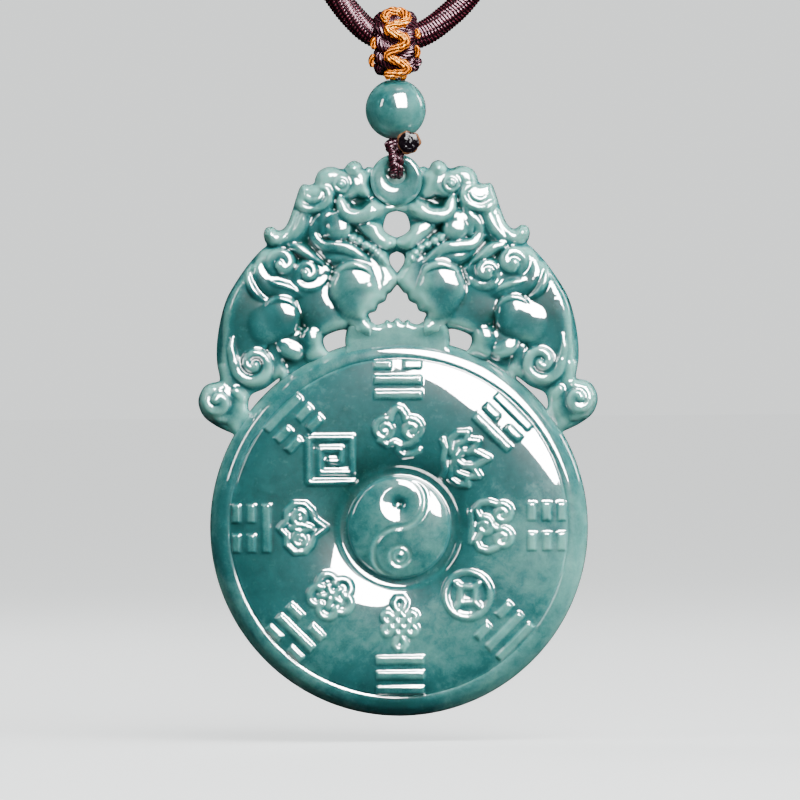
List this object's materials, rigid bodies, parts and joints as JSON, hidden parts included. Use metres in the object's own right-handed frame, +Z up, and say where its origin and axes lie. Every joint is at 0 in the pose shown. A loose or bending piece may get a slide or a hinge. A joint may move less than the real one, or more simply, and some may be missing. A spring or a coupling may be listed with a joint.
{
  "type": "chinese jade pendant on a neck cord",
  "caption": "Carved jade pendant: a round trigram disc under a pair of guardian lions holding a coin, hung by a bead and a braided bail from a thick wound neck cord.",
  "frame": {"origin": "the point on the nape that carries the neck cord, at the middle of the cord inside its sleeve", "axes": "+Z up as worn, the carved face looks along -Y, +X to the right as seen from the front"},
  "size_m": [0.1252, 0.1245, 0.2991],
  "materials": {
    "jade": "polished",
    "cord": "wound thread",
    "braid": "braided thread",
    "gold_thread": "twisted silky thread",
    "melted_end": "melted nylon"
  },
  "bodies": {
    "cords": {"neck_cord": "cord", "nape_sleeve": "cord", "bail_wrap": "braid", "gold_thread": "gold_thread", "bead_cord": "braid", "jade_bead": "jade", "loop_knot": "braid", "cord_end": "melted_end", "hanging_loop": "braid"},
    "pendant": {"jade_pendant": "jade"}
  },
  "joints": [
    {"name": "pendant_swing", "type": "hinge", "parent": "cords", "child": "pendant", "pos_m": [0, -0.118, -0.23925], "axis": [0, 1, 0], "range_deg": [-25, 38]}
  ]
}
